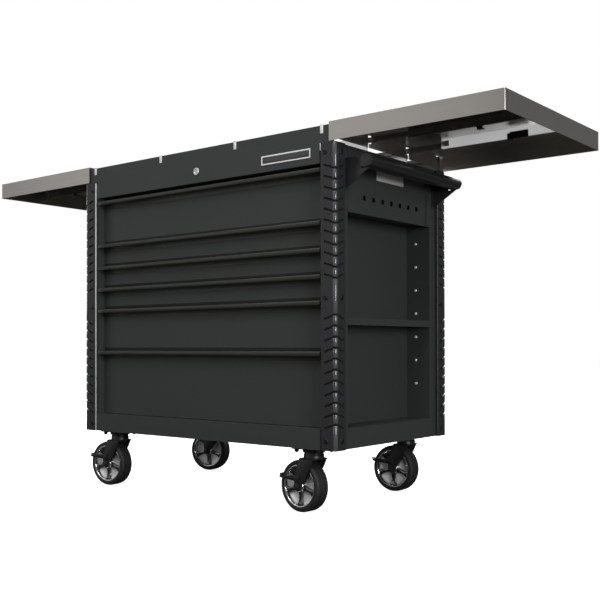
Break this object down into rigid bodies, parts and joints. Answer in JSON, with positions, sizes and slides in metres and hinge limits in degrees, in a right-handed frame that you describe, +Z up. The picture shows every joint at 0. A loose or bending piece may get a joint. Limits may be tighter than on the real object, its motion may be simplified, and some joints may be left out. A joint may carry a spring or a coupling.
{
  "type": "rolling tool chest",
  "caption": "Rolling steel tool chest with sliding drawers, a recessed open side bay and shelf, a push handle, split sliding metal worktops and braked swivel casters.",
  "frame": {"origin": "centre of the chest's footprint on the floor, with both worktops slid out", "axes": "+X along the chest towards the handle, +Z up, the drawers open towards -Y"},
  "size_m": [2.122, 0.6088, 1.1108],
  "materials": {
    "body_paint": "fine textured matte charcoal",
    "drawer_paint": "fine textured matte charcoal",
    "pull_dark": "dark satin anodised",
    "bumper_plastic": "satin moulded",
    "handle_plastic": "semi-gloss moulded",
    "screw_steel": "black oxide",
    "zinc_steel": "bright zinc plated",
    "dark_rail": "dark satin",
    "stainless": "brushed along X",
    "white_nylon": "matte",
    "plate_metal": "satin blank plate",
    "lock_chrome": "polished",
    "fork_steel": "black satin",
    "tyre": "matte rubber",
    "rim_chrome": "polished"
  },
  "bodies": {
    "body": {"base_pan": "body_paint", "left_side_panel": "body_paint", "side_frame": "body_paint", "bay_liner": "body_paint", "header_panel": "body_paint", "back_panel": "body_paint", "front_fascia": "body_paint", "top_tray": "body_paint", "corner_bumpers": "bumper_plastic", "bumper_screws": "screw_steel", "side_shelf": "body_paint", "shelf_studs": "zinc_steel", "handle_grip": "handle_plastic", "handle_brackets": "handle_plastic", "top_glides": "white_nylon", "slide_beams": "dark_rail", "drawer_cabinet_rails": "zinc_steel", "caster_plates": "fork_steel", "blank_plates": "plate_metal"},
    "lock_plug": {"lock_plug": "lock_chrome"},
    "worktop_right": {"worktop_right": "stainless", "worktop_rails_right": "zinc_steel"},
    "worktop_mid_right": {"worktop_mid_rails_right": "dark_rail"},
    "worktop_left": {"worktop_left": "stainless", "worktop_rails_left": "zinc_steel"},
    "worktop_mid_left": {"worktop_mid_rails_left": "dark_rail"},
    "drawer_1": {"drawer_1_box": "drawer_paint", "drawer_1_pull": "pull_dark"},
    "drawer_1_mid": {"drawer_1_mid_rails": "zinc_steel"},
    "drawer_2": {"drawer_2_box": "drawer_paint", "drawer_2_pull": "pull_dark"},
    "drawer_2_mid": {"drawer_2_mid_rails": "zinc_steel"},
    "drawer_3": {"drawer_3_box": "drawer_paint", "drawer_3_pull": "pull_dark"},
    "drawer_3_mid": {"drawer_3_mid_rails": "zinc_steel"},
    "drawer_4": {"drawer_4_box": "drawer_paint", "drawer_4_pull": "pull_dark"},
    "drawer_4_mid": {"drawer_4_mid_rails": "zinc_steel"},
    "drawer_5": {"drawer_5_box": "drawer_paint", "drawer_5_pull": "pull_dark"},
    "drawer_5_mid": {"drawer_5_mid_rails": "zinc_steel"},
    "drawer_6": {"drawer_6_box": "drawer_paint", "drawer_6_pull": "pull_dark"},
    "drawer_6_mid": {"drawer_6_mid_rails": "zinc_steel"},
    "caster_fl": {"caster_fl_fork": "fork_steel"},
    "wheel_fl": {"caster_fl_tyre": "tyre", "caster_fl_rim": "rim_chrome"},
    "pedal_fl": {"caster_fl_pedal": "fork_steel"},
    "caster_bl": {"caster_bl_fork": "fork_steel"},
    "wheel_bl": {"caster_bl_tyre": "tyre", "caster_bl_rim": "rim_chrome"},
    "caster_fr": {"caster_fr_fork": "fork_steel"},
    "wheel_fr": {"caster_fr_tyre": "tyre", "caster_fr_rim": "rim_chrome"},
    "pedal_fr": {"caster_fr_pedal": "fork_steel"},
    "caster_br": {"caster_br_fork": "fork_steel"},
    "wheel_br": {"caster_br_tyre": "tyre", "caster_br_rim": "rim_chrome"},
    "pedal_br": {"caster_br_pedal": "fork_steel"}
  },
  "joints": [
    {"name": "lock_turn", "type": "hinge", "parent": "body", "child": "lock_plug", "pos_m": [0, -0.298, 1.034], "axis": [0, 1, 0], "range_deg": [0, 90]},
    {"name": "worktop_right_slide", "type": "slide", "parent": "body", "child": "worktop_right", "axis": [-1, 0, 0], "range_m": [0, 0.525]},
    {"name": "worktop_right_mid_slide", "type": "slide", "parent": "body", "child": "worktop_mid_right", "axis": [-1, 0, 0], "range_m": [0, 0.2625]},
    {"name": "worktop_left_slide", "type": "slide", "parent": "body", "child": "worktop_left", "axis": [1, 0, 0], "range_m": [0, 0.525]},
    {"name": "worktop_left_mid_slide", "type": "slide", "parent": "body", "child": "worktop_mid_left", "axis": [1, 0, 0], "range_m": [0, 0.2625]},
    {"name": "drawer_1_slide", "type": "slide", "parent": "body", "child": "drawer_1", "axis": [0, -1, 0], "range_m": [0, 0.45]},
    {"name": "drawer_1_mid_slide", "type": "slide", "parent": "body", "child": "drawer_1_mid", "axis": [0, -1, 0], "range_m": [0, 0.225]},
    {"name": "drawer_2_slide", "type": "slide", "parent": "body", "child": "drawer_2", "axis": [0, -1, 0], "range_m": [0, 0.45]},
    {"name": "drawer_2_mid_slide", "type": "slide", "parent": "body", "child": "drawer_2_mid", "axis": [0, -1, 0], "range_m": [0, 0.225]},
    {"name": "drawer_3_slide", "type": "slide", "parent": "body", "child": "drawer_3", "axis": [0, -1, 0], "range_m": [0, 0.45]},
    {"name": "drawer_3_mid_slide", "type": "slide", "parent": "body", "child": "drawer_3_mid", "axis": [0, -1, 0], "range_m": [0, 0.225]},
    {"name": "drawer_4_slide", "type": "slide", "parent": "body", "child": "drawer_4", "axis": [0, -1, 0], "range_m": [0, 0.45]},
    {"name": "drawer_4_mid_slide", "type": "slide", "parent": "body", "child": "drawer_4_mid", "axis": [0, -1, 0], "range_m": [0, 0.225]},
    {"name": "drawer_5_slide", "type": "slide", "parent": "body", "child": "drawer_5", "axis": [0, -1, 0], "range_m": [0, 0.45]},
    {"name": "drawer_5_mid_slide", "type": "slide", "parent": "body", "child": "drawer_5_mid", "axis": [0, -1, 0], "range_m": [0, 0.225]},
    {"name": "drawer_6_slide", "type": "slide", "parent": "body", "child": "drawer_6", "axis": [0, -1, 0], "range_m": [0, 0.45]},
    {"name": "drawer_6_mid_slide", "type": "slide", "parent": "body", "child": "drawer_6_mid", "axis": [0, -1, 0], "range_m": [0, 0.225]},
    {"name": "caster_fl_swivel", "type": "hinge", "parent": "body", "child": "caster_fl", "pos_m": [-0.428, -0.248, 0.182], "axis": [0, 0, 1], "continuous": true},
    {"name": "wheel_fl_spin", "type": "hinge", "parent": "caster_fl", "child": "wheel_fl", "pos_m": [-0.46632, -0.25169, 0.076], "axis": [-0.0958, 0.9954, 0], "continuous": true},
    {"name": "pedal_fl_press", "type": "hinge", "parent": "caster_fl", "child": "pedal_fl", "pos_m": [-0.46782, -0.25183, 0.099], "axis": [0.0958, -0.9954, 0], "range_deg": [0, 5]},
    {"name": "caster_bl_swivel", "type": "hinge", "parent": "body", "child": "caster_bl", "pos_m": [-0.428, 0.248, 0.182], "axis": [0, 0, 1], "continuous": true},
    {"name": "wheel_bl_spin", "type": "hinge", "parent": "caster_bl", "child": "wheel_bl", "pos_m": [-0.46551, 0.23934, 0.076], "axis": [-0.225, 0.9744, 0], "continuous": true},
    {"name": "caster_fr_swivel", "type": "hinge", "parent": "body", "child": "caster_fr", "pos_m": [0.428, -0.248, 0.182], "axis": [0, 0, 1], "continuous": true},
    {"name": "wheel_fr_spin", "type": "hinge", "parent": "caster_fr", "child": "wheel_fr", "pos_m": [0.38968, -0.24431, 0.076], "axis": [0.0958, 0.9954, 0], "continuous": true},
    {"name": "pedal_fr_press", "type": "hinge", "parent": "caster_fr", "child": "pedal_fr", "pos_m": [0.38818, -0.24417, 0.099], "axis": [-0.0958, -0.9954, 0], "range_deg": [0, 5]},
    {"name": "caster_br_swivel", "type": "hinge", "parent": "body", "child": "caster_br", "pos_m": [0.428, 0.248, 0.182], "axis": [0, 0, 1], "continuous": true},
    {"name": "wheel_br_spin", "type": "hinge", "parent": "caster_br", "child": "wheel_br", "pos_m": [0.38951, 0.24733, 0.076], "axis": [-0.0175, 0.9998, 0], "continuous": true},
    {"name": "pedal_br_press", "type": "hinge", "parent": "caster_br", "child": "pedal_br", "pos_m": [0.38801, 0.2473, 0.099], "axis": [0.0175, -0.9998, 0], "range_deg": [0, 5]}
  ],
  "couplings": [
    {"joint": "worktop_right_mid_slide", "follows": "worktop_right_slide", "ratio": 0.5},
    {"joint": "worktop_left_mid_slide", "follows": "worktop_left_slide", "ratio": 0.5},
    {"joint": "drawer_1_mid_slide", "follows": "drawer_1_slide", "ratio": 0.5},
    {"joint": "drawer_2_mid_slide", "follows": "drawer_2_slide", "ratio": 0.5},
    {"joint": "drawer_3_mid_slide", "follows": "drawer_3_slide", "ratio": 0.5},
    {"joint": "drawer_4_mid_slide", "follows": "drawer_4_slide", "ratio": 0.5},
    {"joint": "drawer_5_mid_slide", "follows": "drawer_5_slide", "ratio": 0.5},
    {"joint": "drawer_6_mid_slide", "follows": "drawer_6_slide", "ratio": 0.5}
  ]
}
